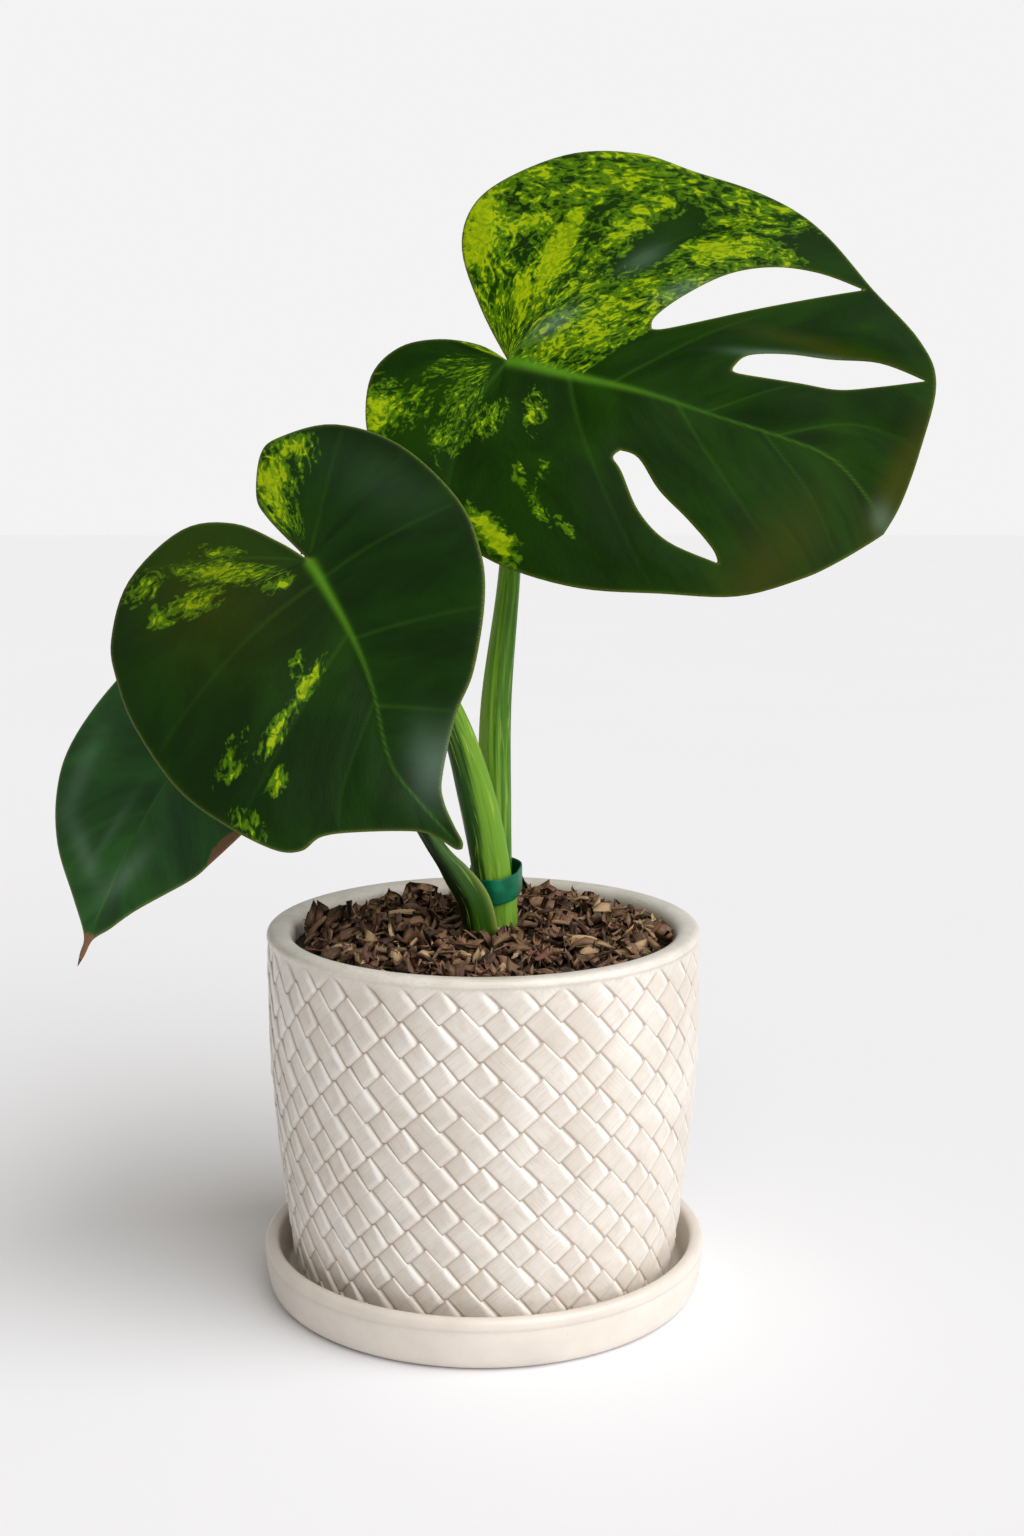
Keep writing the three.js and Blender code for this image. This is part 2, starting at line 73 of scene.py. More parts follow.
# A blade is drawn flat: s runs along the midrib from the stalk at "at" to the tip at "reach", t runs across
# it, and "facing" is the way its upper side looks. Each margin, slit edge and the midrib itself, "rib", is
# a smooth line. "fold" lifts the halves off the midrib, "curl" bends their margins back down and "arch"
# raises the middle. Pairs are for the half with t above the midrib, then for the other. "sides" holds how
# the side veins leave the midrib: their slope towards the tip, how much that grows along the leaf, and
# their own bend. "veins" gives where they leave it. "rib_width" is the half width of the midrib at the
# stalk.
# The lists of patches hold s, t, half length, half width, turn in degrees and strength. "gold" patches are
# yellow-green and "dark" ones plain green. "gold_side" is how far along the midrib the veins of a half
# still carry gold, and "gold_base" what they carry outside every patch. "rolled" turns a slit's edge down.
# "scorch" is dried brown and "bronze" a brownish flush. The last list of each leaf is a painted sheen: a dull
# grey shine painted into the colour where light glances off the leaf.
LEAVES = {
    "upper": {
        "at": (8.9, 22, 342.8), "reach": (143.5, -1.5, 280.9), "facing": (0.08, -0.86, 0.5),
        "rib": [(0, 0), (50, 8), (100, 15), (122, 17), (140, 9), (150, 0)],
        "fold": 0.26, "curl": 0.0024, "arch": 6.0,
        "margins": [
            [(0, 0), (-19, 16), (-36, 35), (-41, 54), (-35, 73), (-18, 97), (4, 109), (27, 109), (50, 110),
             (68, 108), (84, 102), (108, 88), (132, 77), (144, 64), (149, 36), (151, 14), (150, 0)],
            [(150, 0), (140, -20), (130, -35), (113, -52), (89, -64), (63, -75), (36, -79), (14, -76),
             (-3, -70), (-19, -61), (-32, -50), (-41, -29), (-38, -12), (-27, -2), (-12, 2), (0, 0)],
        ],
        "slits": [
            [[(42, 33), (41, 38), (47, 51), (58, 67), (72, 78), (88, 84), (105, 86)],
             [(105, 86), (86, 69), (71, 56), (56, 43), (46, 35), (42, 33)]],
            [[(75, 32), (78, 39), (91, 47), (105, 53), (122, 61), (140, 63)],
             [(140, 63), (126, 52), (113, 43), (99, 38), (78, 31), (75, 32)]],
            [[(102, -44), (83, -45), (69, -39), (57, -27), (52, -23), (53, -19)],
             [(53, -19), (60, -19), (72, -28), (86, -34), (98, -40), (102, -44)]],
        ],
        "sides": ((0.25, 0.011, 0.004), (0.25, 0.011, 0.004)),
        "veins": ((0, 38, 73, 100), (-15, 23, 63, 95)),
        "rib_width": 2.6,
        "gold": [
            (-34, 45, 18, 5.5, 106, 0.55), (-3, 48, 14, 4.2, 92, 0.95), (-8, 26, 8, 2.2, 113, 0.5),
            (-16, 57, 5, 4, 104, 0.3), (5, 91, 7, 3.5, 66, 0.3), (12, 64, 16, 6, 75, 0.14),
            (48, 74, 12, 4, 32, 0.45), (21, 29, 20, 3.5, 68, 0.2), (29, 26, 11, 3, 50, 0.14),
            (-34, -42, 14, 6, 100, 0.5), (27, -70, 12, 4.5, -24, 0.9), (19, -17, 12, 4, -67, 0.42),
            (6, -29, 11, 5, 78, 0.42), (-6, -22, 14, 6, -80, 0.34), (32, -40, 5, 2.4, -74, 0.42),
            (24, -44, 5, 2.4, -45, 0.42), (37, -54, 9, 2.6, -37, 0.38), (48, -56, 7, 2.2, -28, 0.34),
            (-4, -45, 8, 5, 121, 0.42), (-24, -38, 14, 9, 60, 0.34), (-16, -12, 12, 6, 40, 0.25),
        ],
        "dark": [
            (31, 70, 22, 8, 68, 0.5), (-14, 50, 20, 4, 95, 0.16), (7, 52, 14, 3, 85, 0.2),
            (92, 94, 18, 9, 0, 0.7), (8, 80, 10, 4, 60, 0.2), (2, 66, 12, 3, 70, 0.25),
        ],
        "gold_side": (25.0, 26.0),
        "gold_base": (0.38, 0.0),
        "rolled": [(105, 55, 30, 8, 15, 1.8)],
        "bronze": [(147, 20, 6, 28, 0, 0.7), (118, -40, 12, 34, -10, 0.5), (105, 56, 28, 3, 14, 0.5)],
        "painted_sheen": [
            (9, 20, 9, 3, 60, 0.3), (27, 58, 9, 3.5, 60, 0.2), (45, 52, 9, 3, 50, 0.25),
            (96, 48, 19, 1.5, 24, 0.7), (147, 5, 4, 6, 20, 0.24),
        ],
    },
    "middle": {
        "at": (-58.4, -40, 273.9), "reach": (-5.5, -85.2, 183.1), "facing": (-0.12, -0.915, 0.385),
        "rib": [(0, 0), (32, 1), (54, -1), (78, -7), (94, -5), (114, 0)],
        "fold": 0.22, "curl": 0.0022, "arch": 8.0,
        "margins": [
            [(0, 0), (-7, -2), (-23, -6), (-33, -6), (-47, 2), (-49, 11), (-42, 30), (-22, 46), (8, 54),
             (30, 52), (47, 45), (66, 31), (76, 19), (91, 5.5), (98, 2.2), (106, 1.4), (112, 1.3), (114, 0)],
            [(114, 0), (113, -2), (108, -5), (102.5, -10), (94, -27), (90, -38), (91, -46), (86, -54),
             (70, -65), (52, -73), (25, -77), (6, -76), (-9, -72), (-26, -58), (-34, -34), (-27, -17),
             (-12, -6), (0, 0)],
        ],
        "sides": ((-0.2, 0.012, 0.002), (0.0, 0.02, 0.003)),
        "veins": ((-30, 9, 35, 60), (-25, 9, 32, 58)),
        "rib_width": 2.0,
        "gold": [
            (-43, 13, 8, 5, 60, 0.55), (-38, 3, 10, 6, 60, 0.5), (-27, -1, 14, 5, 0, 0.6),
            (-10, -27, 17, 4, 57, 0.68), (-5, -41, 9, 4.5, 80, 0.72), (4, -12, 5.5, 2.6, 96, 0.55),
            (-20, -55, 9, 6, 100, 0.34), (-19, -26, 10, 3, 55, 0.36), (-6, -54, 4, 4, 45, 0.45),
            (43, -20, 12, 2.6, -59, 0.62), (54, -37, 10, 2.8, -54, 0.5), (54, -53, 11, 4.5, -48, 0.38),
            (68, -43, 6, 3, -44, 0.5), (76, -57, 7, 4, 20, 0.42), (34, -19, 5, 2.5, -42, 0.4),
        ],
        "gold_side": (-12.0, 200.0),
        "gold_base": (0.04, 0.0),
        "bronze": [(-8, -34, 30, 24, 0, 0.35)],
        "painted_sheen": [(86, 4, 12, 7, -20, 0.28), (82, 16, 16, 5, -60, 0.14), (-12, 34, 26, 10, 30, 0.05)],
    },
    "lower": {
        "at": (-92.8, 0, 223.7), "reach": (-139.6, -36.2, 138.9), "facing": (-0.282, -0.816, 0.504),
        "rib": [(0, 0), (50, 1), (103, 0)],
        "fold": 0.2, "curl": 0.002, "arch": 8.0,
        "margins": [
            [(0, 0), (-10, 3), (-23, 13), (-26, 27), (-14, 40), (8, 46), (30, 46), (48, 40), (60, 35),
             (69, 30), (86, 14), (95, 7), (101, 1.8), (107, 1), (112, 0)],
            [(112, 0), (107, -1.2), (101, -2.4), (91, -12), (77, -26), (60, -36), (42, -41), (14, -41),
             (-8, -37), (-23, -27), (-22, -13), (-10, -4), (0, 0)],
        ],
        "sides": ((0.2, 0.012, 0.004), (0.2, 0.012, 0.004)),
        "veins": ((-20, 8, 30, 52, 72), (-20, 8, 30, 52, 72)),
        "rib_width": 0.9,
        "gold_side": (0.0, 0.0),
        "gold_base": (0.0, 0.0),
        "scorch": [(55, 38, 9, 4.5, -15, 1.2), (108, 0, 8, 5, 0, 1.4), (34, 46, 6, 1.6, 0, 0.8)],
        "painted_sheen": [
            (75, -15, 13, 3.5, 51, 0.2), (76, 4, 13, 4, -22, 0.26), (50, -30, 16, 4, 8, 0.16),
            (62, -8, 16, 2, -6, 0.12),
        ],
    },
}

# A stalk's rows are x, y, z, half width and half depth.
STALKS = {
    "upper": [
        (5.8, 4.5, 147, 4.6, 4.4), (5.4, 5.4, 160, 4.8, 4.5), (5, 7, 180, 5, 4.5), (5, 12, 219, 5.1, 4.4),
        (9.6, 17, 267, 3.9, 3.8), (11.5, 25, 305, 3.5, 3.6), (10.8, 29, 330, 3.4, 3.6),
        (8.9, 23, 341.5, 3.2, 3.2),
    ],
    "middle": [
        (3.3, -6.5, 147, 6.6, 5.6), (3.3, -7, 156, 7, 6), (-2, -9, 185, 6.8, 6), (-11, -12, 216, 5.2, 5.2),
        (-27, -18, 245, 4.4, 4.4), (-45, -27, 264, 3.6, 3.8), (-57.5, -38.5, 272.5, 3, 3),
    ],
    "lower": [
        (0.5, -11, 124, 6, 4.5), (-0.9, -15, 136, 5.5, 4.2), (-4, -18, 150, 5.5, 3.8),
        (-9.8, -19, 160.5, 4.7, 3.7), (-16.2, -19, 169.5, 3.3, 3.3), (-32.6, -14, 192.5, 3.2, 3.3),
        (-64, -3, 213, 3.2, 3.2), (-92, 1, 222.5, 2.8, 2.8),
    ],
}
STEM = [
    (5, -2, 120, 5.6, 7.2), (5.5, -2, 130, 6.2, 8.2), (5.6, -2, 138, 6.9, 9.4), (4.6, -1.7, 146, 8, 11.4),
    (4.4, -1.6, 151, 8, 11.4),
]
# Where the mulch sinks round the three stalks: x, y, how far and how deep.
HOLLOW = {"x": 5, "y": -12, "reach": 14, "depth": 3}


# ---- surfaces

def smooth_step(value):
    """0 below 0, 1 above 1 and 3x^2 - 2x^3 between."""
    value = np.clip(value, 0, 1)
    return value * value * (3 - 2 * value)


def smooth_line(points, steps):
    """A line through the points: each span is a cubic whose slopes at its ends are half the step from one
    neighbour to the other."""
    points = np.asarray(points, float)
    padded = np.vstack([points[:1], points, points[-1:]])
    spans = len(points) - 1
    share = np.linspace(0, spans, spans * steps + 1)
    span = np.minimum(share.astype(int), spans - 1)
    part = (share - span)[:, None]
    before, start, end, after = (padded[span + k] for k in range(4))
    line = start + part * (end - before) / 2
    line += part**2 * (before - 2.5 * start + 2 * end - after / 2)
    return line + part**3 * (after - 3 * end + 3 * start - before) / 2


def grid_faces(index):
    """Quads of a grid of point numbers, facing the way that its row step crosses its column step."""
    return np.stack([index[:-1, :-1], index[1:, :-1], index[1:, 1:], index[:-1, 1:]], -1).reshape(-1, 4)


def closed_columns(index):
    """The grid with its first column repeated at the end, so that it closes round."""
    return np.hstack([index, index[:, :1]])


def fan_faces(ring, pole):
    """Triangles from each step of a closed ring to one pole point."""
    following = np.roll(ring, -1)
    return np.stack([ring, following, np.full(len(ring), pole)], -1)


def make_piece(name, points, face_sets, finish, stands_for, values=None):
    """A mesh from points in millimetres and arrays of faces, with its finish, its values at each point, and
    the names of what it stands for in the frame."""
    mesh = bpy.data.meshes.new(name)
    corners = np.concatenate([faces.ravel() for faces in face_sets]).astype(np.int32)
    sizes = np.concatenate([np.full(len(faces), faces.shape[1]) for faces in face_sets])
    mesh.vertices.add(len(points))
    mesh.vertices.foreach_set("co", (points * MM).astype(np.float32).ravel())
    mesh.loops.add(len(corners))
    mesh.loops.foreach_set("vertex_index", corners)
    mesh.polygons.add(len(sizes))
    mesh.polygons.foreach_set("loop_start", np.concatenate([[0], np.cumsum(sizes)[:-1]]).astype(np.int32))
    mesh.update(calc_edges=True)
    mesh.validate()
    mesh.shade_smooth()
    for key, value in (values or {}).items():
        value = np.asarray(value, np.float32)
        if value.ndim == 2:
            mesh.attributes.new(key, "FLOAT_VECTOR", "POINT").data.foreach_set("vector", value.ravel())
        else:
            mesh.attributes.new(key, "FLOAT", "POINT").data.foreach_set("value", value)
    mesh.materials.append(finish)
    piece = bpy.data.objects.new(name, mesh)
    bpy.context.scene.collection.objects.link(piece)
    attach(piece, "root")
    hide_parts(*stands_for)


def upright(radius, angle, height):
    """Points at a distance from the +Z axis, an angle round it and a height along it."""
    return np.stack(np.broadcast_arrays(radius * np.cos(angle), radius * np.sin(angle), height), -1)


def turned(profile, angle):
    """Points of a profile of (radius, height) rows turned round +Z: a grid of rows by angles."""
    radius, height = np.asarray(profile, float).T[:, :, None]
    return upright(radius, angle, height)


def full_turn(columns):
    """The angles of that many even steps round a circle."""
    return np.arange(columns) * 2 * np.pi / columns


def tube_faces(rows, columns):
    """Faces of a tube of rings of points, closed at each end by a pole point: the poles follow the rings, the
    first ring's before the last one's."""
    index = np.arange(rows * columns).reshape(rows, columns)
    first_pole, last_pole = rows * columns, rows * columns + 1
    return [
        grid_faces(closed_columns(index))[:, ::-1], fan_faces(index[0], first_pole)[:, ::-1],
        fan_faces(index[-1], last_pole),
    ]


def bow(start, middle, end, steps):
    """A quadratic curve from start to end, drawn towards middle, without its first point."""
    part = np.linspace(0, 1, steps + 1)[1:, None]
    start, middle, end = (np.asarray(point, float) for point in (start, middle, end))
    return start * (1 - part)**2 + 2 * middle * part * (1 - part) + end * part**2


# ---- finishes

def paint(code):
    """A colour code such as d8cdbd as linear red, green, blue and 1."""
    channels = np.array([int(code[k:k + 2], 16) for k in (0, 2, 4)]) / 255
    linear = np.where(channels <= 0.04045, channels / 12.92, ((channels + 0.055) / 1.055)**2.4)
    return (*(float(x) for x in linear), 1.0)


class Finish:
    """A material in the making. Each call adds nodes and gives back their output; set gives the material."""

    def __init__(self, name, **sockets):
        self.material = bpy.data.materials.new(name)
        self.material.use_nodes = True
        self.tree = self.material.node_tree
        self.shader = self.tree.nodes["Principled BSDF"]
        self.set(**sockets)

    def feed(self, socket, value):
        if isinstance(value, bpy.types.NodeSocket):
            self.tree.links.new(value, socket)
        else:
            socket.default_value = value

    def node(self, kind, inputs, output=0, **settings):
        made = self.tree.nodes.new("ShaderNode" + kind)
        for key, value in settings.items():
            setattr(made, key, value)
        for key, value in inputs.items():
            self.feed(made.inputs[key], value)
        return made.outputs[output]

    def place(self):
        return self.node("TexCoord", {}, output=3)

    def value(self, name):
        return self.node("Attribute", {}, output=2, attribute_name=name)

    def vector(self, name):
        return self.node("Attribute", {}, output=1, attribute_name=name)

    def noise(self, vector, scale, detail=3.0, roughness=0.55, distortion=0.0):
        inputs = {"Vector": vector, "Scale": scale, "Detail": detail, "Roughness": roughness}
        return self.node("TexNoise", {**inputs, "Distortion": distortion})

    def streaks(self, vector, scale, **look):
        """Noise drawn out along the vector's own axes, by a scale for each."""
        return self.noise(self.node("Mapping", {"Vector": vector, "Scale": scale}), 1.0, **look)

    def math(self, operation, first, second):
        return self.node("Math", {0: first, 1: second}, operation=operation)

    def ramp(self, value, low, high):
        """0 below low and 1 above high, eased between them."""
        inputs = {"Value": value, "From Min": low, "From Max": high}
        return self.node("MapRange", inputs, interpolation_type="SMOOTHSTEP")

    def blend(self, factor, first, second):
        return self.node("Mix", {0: factor, 6: first, 7: second}, output=2, data_type="RGBA")

    def lay(self, colour, code, cover, strength):
        """The colour with paint of that code over it, as thick as cover x strength."""
        return self.blend(self.math("MULTIPLY", cover, strength), colour, paint(code))

    def bump(self, height, strength, distance, under=None):
        inputs = {"Height": height, "Strength": strength, "Distance": distance}
        if under is not None:
            inputs["Normal"] = under
        return self.node("Bump", inputs)

    def set(self, **sockets):
        for socket, value in sockets.items():
            self.feed(self.shader.inputs[socket.replace("_", " ")], value)
        return self.material


def glazed_stoneware(name, thin, thick, plaited=False):
    """Cream glaze, cloudy between its thin and its thick colour, with fine specks. The plaited wall adds the
    hairlines that run along each strand, stains, painted shade beside the low edges of each tile, browner
    creases that are partly pooled glaze and partly painted shade, and a painted highlight along the crests."""
    glaze = Finish(name, IOR=1.5, Coat_Weight=0.25, Coat_Roughness=0.25)
    place = glaze.place()
    cloud = glaze.noise(place, 38.0, detail=4.0)
    colour = glaze.blend(glaze.ramp(cloud, 0.3, 0.7), paint(thin), paint(thick))
    speck = glaze.ramp(glaze.noise(place, 900.0, detail=1.0), 0.7, 0.78)
    colour = glaze.lay(colour, "b7a48b", speck, 0.25)
    bump = glaze.bump(glaze.noise(place, 420.0, detail=2.0), 0.12, 0.0004)
    if plaited:
        strand = glaze.vector("strand")
        streak = glaze.streaks(strand, (0.09, 1.6, 3.0), detail=3.0, roughness=0.65)
        colour = glaze.lay(colour, "c2b5a6", glaze.ramp(streak, 0.45, 0.75), 0.42)
        stain = glaze.streaks(strand, (0.16, 0.16, 1.0), detail=2.0)
        colour = glaze.lay(colour, "c6baac", glaze.ramp(stain, 0.5, 0.8), 0.35)
        colour = glaze.lay(colour, "c0ac98", glaze.value("shade"), 0.42)
        # Browner creases and pits: partly glaze pooled there and partly painted shade.
        colour = glaze.lay(colour, "947a60", glaze.value("crease"), 0.48)
        # Painted highlight: near-white along each tile's crest and bevel, where the key light catches.
        colour = glaze.lay(colour, "fbf8f4", glaze.value("crest_highlight"), 0.85)
        bump = glaze.bump(streak, 0.35, 0.0005, bump)
    rough = glaze.node("MapRange", {"Value": cloud, "To Min": 0.3, "To Max": 0.46})
    return glaze.set(Base_Color=colour, Roughness=rough, Normal=bump)


def leaf_skin(name, shadow_green, mid_green, vein_show, gloss):
    """Leaf green in three tones, and yellow-green marbling that streams along the side veins where the
    blade's "gold" is high. Over them lie pale veins and margin, then the blade's own bronze and scorch, and
    a painted sheen: dull grey shine painted into the colour. The underside is duller and paler. vein_show is
    how plain the veins are, gloss how much light the leaf throws."""
    skin = Finish(name, IOR=1.45, Specular_IOR_Level=gloss)
    flow = skin.vector("flow")
    place = skin.place()
    broad = skin.streaks(flow, (0.05, 0.02, 1.0), detail=4.0, distortion=0.6)
    green = skin.blend(skin.ramp(broad, 0.35, 0.7), paint(shadow_green), paint(mid_green))
    cloud = skin.noise(place, 30.0, detail=3.0)
    green = skin.lay(green, "214403", skin.ramp(cloud, 0.5, 0.75), 0.3)
    streaks = skin.streaks(flow, (0.22, 0.115, 1.0), detail=2.5, roughness=0.5, distortion=1.6)
    crumbs = skin.streaks(flow, (0.46, 0.27, 2.0), detail=1.8, roughness=0.5, distortion=1.5)
    mottle = skin.math("ADD", skin.math("MULTIPLY", streaks, 0.55), skin.math("MULTIPLY", crumbs, 0.45))
    gold = skin.value("gold")
    marbling = skin.math("ADD", mottle, skin.math("MULTIPLY", gold, 0.4))
    plain = skin.math("MULTIPLY", skin.ramp(gold, 0.16, 0.0), 0.2)
    marbling = skin.math("SUBTRACT", marbling, plain)
    sun = skin.blend(skin.ramp(crumbs, 0.35, 0.65), paint("6c8a03"), paint("93a805"))
    colour = skin.blend(skin.ramp(marbling, 0.55, 0.68), green, paint("486e04"))
    colour = skin.blend(skin.ramp(marbling, 0.685, 0.75), colour, sun)
    colour = skin.lay(colour, "3f7018", skin.value("vein"), vein_show)
    rib = skin.value("rib")
    colour = skin.blend(rib, colour, skin.blend(cloud, paint("37700e"), paint("5d8c1e")))
    colour = skin.lay(colour, "7d8f3a", skin.value("edge"), 0.6)
    colour = skin.blend(skin.value("bronze"), colour, paint("3c3f04"))
    # Painted sheen: a dull grey-green shine painted into the colour where the leaf catches the light.
    colour = skin.blend(skin.value("painted_sheen"), colour, paint("7f9a86"))
    scorch = skin.ramp(skin.math("ADD", skin.value("scorch"), skin.math("MULTIPLY", crumbs, 0.5)), 0.6, 0.8)
    colour = skin.blend(scorch, colour, skin.blend(cloud, paint("5a3d26"), paint("8f6b4c")))
    back = skin.value("underside")
    dull = skin.blend(skin.ramp(marbling, 0.68, 0.76), paint("4f7a37"), paint("a3b04a"))
    dull = skin.blend(rib, dull, paint("8fb35c"))
    colour = skin.blend(back, colour, dull)
    tissue = skin.streaks(flow, (0.9, 0.35, 1.0), detail=3.0)
    bump = skin.bump(tissue, 0.18, 0.0006)
    bump = skin.bump(skin.noise(place, 1400.0, detail=1.0), 0.05, 0.0003, bump)
    rough = skin.node("MapRange", {"Value": skin.math("ADD", cloud, back), "To Min": 0.34, "To Max": 0.48})
    return skin.set(Base_Color=colour, Roughness=rough, Normal=bump)


def stalk_skin(name, dark, mid, pale, painted_light):
    """Stalk green with long soft stripes, pale streaks along it and a straw-coloured wing. "run" holds how
    far to the right a point is, from -1 to 1, the way up, and how far back. The last argument is how much
    more of the middle green the right side shows than the left: painted light on one side of the stalk and
    painted shade on the other."""
    skin = Finish(name, IOR=1.45, Roughness=0.4, Specular_IOR_Level=0.25)
    run = skin.vector("run")
    stripes = skin.streaks(run, (3.2, 0.02, 1.0), detail=3.0, roughness=0.6)
    # Painted light and shade: the colour leans to the middle green on one side and to the dark green on the
    # other.
    painted_side_light = skin.math("MULTIPLY", skin.node("SeparateXYZ", {"Vector": run}), painted_light)
    colour = skin.blend(skin.ramp(skin.math("ADD", stripes, painted_side_light), 0.35, 0.65), paint(dark), paint(mid))
    flecks = skin.streaks(run, (5.0, 0.045, 1.0), detail=4.0, distortion=0.4)
    colour = skin.lay(colour, pale, skin.ramp(flecks, 0.56, 0.7), 0.65)
    colour = skin.blend(skin.value("wing"), colour, paint("a9b85c"))
    bump = skin.bump(skin.streaks(run, (9.0, 0.05, 1.0), detail=2.0), 0.25, 0.0005)
    return skin.set(Base_Color=colour, Normal=bump)


def tie_tape():
    """Soft teal tape with a faint lengthwise grain and scuffs."""
    tape = Finish("plant_tie_tape", IOR=1.47, Specular_IOR_Level=0.25)
    place = tape.place()
    scuff = tape.noise(place, 160.0, detail=4.0)
    colour = tape.blend(tape.ramp(scuff, 0.35, 0.7), paint("00553a"), paint("00734e"))
    grain = tape.streaks(place, (90.0, 90.0, 1260.0), detail=2.0)
    rough = tape.node("MapRange", {"Value": scuff, "To Min": 0.3, "To Max": 0.5})
    return tape.set(Base_Color=colour, Roughness=rough, Normal=tape.bump(grain, 0.2, 0.0003))


def bark_mulch_finish():
    """Dried bark and leaf flakes: each has its own brown, with grain along it and paler worn spots."""
    bark = Finish("bark_flakes", IOR=1.4)
    flake = bark.vector("flake")
    grain = bark.vector("grain")
    tone = bark.node("SeparateXYZ", {"Vector": flake})
    second = bark.node("SeparateXYZ", {"Vector": flake}, output=1)
    colour = bark.blend(bark.ramp(tone, 0.1, 0.75), paint("422c20"), paint("8a684e"))
    colour = bark.blend(bark.ramp(second, 0.83, 0.96), colour, paint("cfae84"))
    colour = bark.blend(bark.ramp(second, 0.14, 0.04), colour, paint("80584c"))
    streak = bark.streaks(grain, (0.25, 1.8, 7.0), detail=4.0, roughness=0.65)
    colour = bark.lay(colour, "b58f6c", bark.ramp(streak, 0.48, 0.75), 0.5)
    colour = bark.lay(colour, "22140c", bark.ramp(streak, 0.5, 0.25), 0.6)
    return bark.set(Base_Color=colour, Roughness=0.72, Normal=bark.bump(streak, 0.7, 0.0007))


def potting_soil():
    """Dark crumbly mix."""
    soil = Finish("potting_soil", Roughness=0.95)
    place = soil.place()
    crumb = soil.noise(place, 420.0, detail=5.0, roughness=0.7)
    colour = soil.blend(soil.ramp(crumb, 0.35, 0.7), paint("140c08"), paint("3b291e"))
    return soil.set(Base_Color=colour, Normal=soil.bump(crumb, 1.0, 0.0015))


def table_top():
    """A plain pale floor with the faintest cloud in it."""
    top = Finish("pale_table", Roughness=0.8, Specular_IOR_Level=0.05)
    cloud = top.noise(top.place(), 3.0, detail=2.0)
    return top.set(Base_Color=top.blend(cloud, paint("f1f2f6"), paint("f3f4f8")))


# ---- pottery

def wall_radius(height):
    """The outside radius of the pot's wall at a height: a slight belly up to where it is straight."""
    low, belly, straight = (POT["foot"] + 5.4, POT["bottom"] + 5), (POT["rim"] - 1.5, 58), (POT["rim"], 100)
    curve = np.vstack([low, bow(low, belly, straight, 60)])
    return np.interp(height, curve[:, 1], curve[:, 0])


def plaited_wall(samples):
    """The woven wall on a slanting grid: i and u count up towards the upper left, j and v towards the upper
    right, in whole crossings and shares of one. Height is proportional to i + u + j + v, and the way round to
    j + v - i - u. Each crossing is a flat tile. It starts low, in a crease along its two left-hand edges, and
    leans out to its two right-hand edges, where it ends in a crest and a bevel; the upper bevel widens as it
    runs down, and the tile lies askew, so that each starts a little above the end of the one before. A third
    of the steps along a strand are shallow. samples are the shares of one crossing at which it is sampled."""
    per_tile = len(samples)
    strands, crossings = PLAIT["strands"], PLAIT["crossings"]
    per_crossing = (PLAIT["high"] - PLAIT["low"]) / crossings
    columns = strands * per_tile
    rows = crossings * per_tile + 1
    rising = np.arange(columns)[:, None] * np.ones((1, rows), int)
    falling = np.arange(rows)[None, :] - rising
    i, j = rising // per_tile, falling // per_tile
    u, v = samples[rising % per_tile], samples[falling % per_tile]
    random = np.random.default_rng(4)
    chance, size, rise = random.random((3, strands, crossings + 2))

    def tile(i, j):
        return i % strands, np.clip(i + j, 0, crossings)

    def step_at(i, j):
        shallow = np.isin((i + 3 * j) % 6, (1, 3)) & (chance[tile(i, j)] > 0.15)
        return np.where(shallow, 0.08, 1.0)

    size, rise = size[tile(i, j)], rise[tile(i, j)]
    lower_right, upper_left = step_at(i, j), step_at(i + 1, j)
    lean = PLAIT["lean"] * (0.7 + 0.6 * size)
    bevel = (0.12 - 0.07 * upper_left) * u + (0.12 + 0.1 * lower_right) * (1 - u)
    past_bevel = v - 1 + bevel
    relief = lean * (v - 0.5) + 0.8 * lean * (lower_right * (1 - u) - upper_left * u) / 2
    relief += PLAIT["uneven"] * (rise - 0.5) - 0.75 * lean * smooth_step(past_bevel / bevel)
    relief -= 0.6 * lean * lower_right * smooth_step((0.11 - u) / 0.11)
    relief -= PLAIT["crease"] * (smooth_step((0.05 - v) / 0.05) + upper_left * smooth_step((u - 0.94) / 0.06))
    pit = lower_right * np.exp(-(u / 0.1)**2 - ((1 - v) / 0.1)**2)
    relief -= PLAIT["pit"] * pit
    level = i + u + j + v
    height = PLAIT["low"] + level * per_crossing
    fade = smooth_step(level / 0.5) * smooth_step((crossings - level) / 0.6)
    radius = wall_radius(height) - PLAIT["inset"] + relief * fade - 0.1 * (1 - fade)
    slip = PLAIT["slip"] * fade * (upper_left * u - lower_right * (1 - u))
    height += slip * per_crossing
    angle = np.pi * (j + v - i - u + slip) / strands
    points = upright(radius, angle, height)
    brushed_up = rise < 0.7
    along = np.where(brushed_up, j + v, i + u)
    across = np.where(brushed_up, i + u, j + v)
    strand = np.stack([along * 9, across * 9, i % strands + 40.0 * (j % strands)], -1)
    # Browner creases and pits for the colour: partly pooled glaze, partly painted shade.
    crease = np.maximum(smooth_step((0.09 - v) / 0.07), upper_left * smooth_step((u - 0.9) / 0.07))
    crease = np.maximum(crease, pit) * fade
    shade = np.maximum(np.exp(-v / 0.12), upper_left * np.exp(-(1 - u) / 0.2)) * fade
    # A painted highlight along each tile's upper bevel, and a fainter one near its lower right end.
    crest_highlight = np.maximum(smooth_step(past_bevel / 0.05), np.exp(-(past_bevel / 0.04)**2)) * (0.4 + 0.6 * size)
    crest_highlight = np.maximum(crest_highlight, 0.6 * lower_right * np.exp(-((u - 0.12) / 0.05)**2)) * fade
    return points, angle, strand, {"crease": crease, "shade": shade, "crest_highlight": crest_highlight * (1 - crease)}


